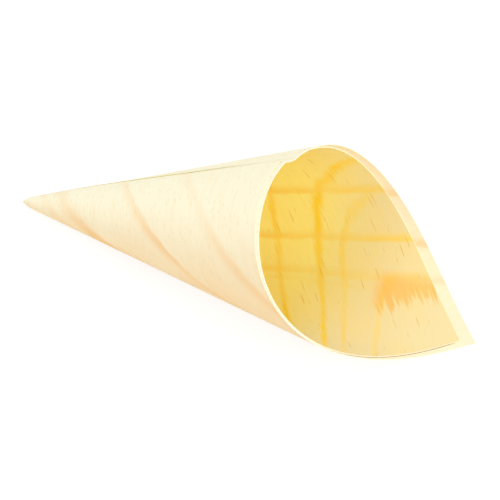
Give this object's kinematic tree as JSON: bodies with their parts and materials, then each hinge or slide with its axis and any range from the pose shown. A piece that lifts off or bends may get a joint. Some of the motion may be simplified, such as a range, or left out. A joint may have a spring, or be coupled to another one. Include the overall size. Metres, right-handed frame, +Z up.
{
  "type": "wooden food cone",
  "caption": "Disposable serving cone of thin wood veneer, wound double from one sheet, with a pressed tip and a slanted open mouth that ends in a long pointed corner.",
  "frame": {"origin": "on the surface that the cone lies on, below the middle of its box", "axes": "+X along the flat spot that the cone lies on, from the tip to the longest corner of the mouth; +Z up from that surface; +Y to the left of +X"},
  "size_m": [0.1872, 0.0768, 0.0604],
  "materials": {
    "veneer": "raw, unfinished pine veneer"
  },
  "bodies": {
    "root": {"veneer_cone": "veneer"}
  },
  "joints": []
}
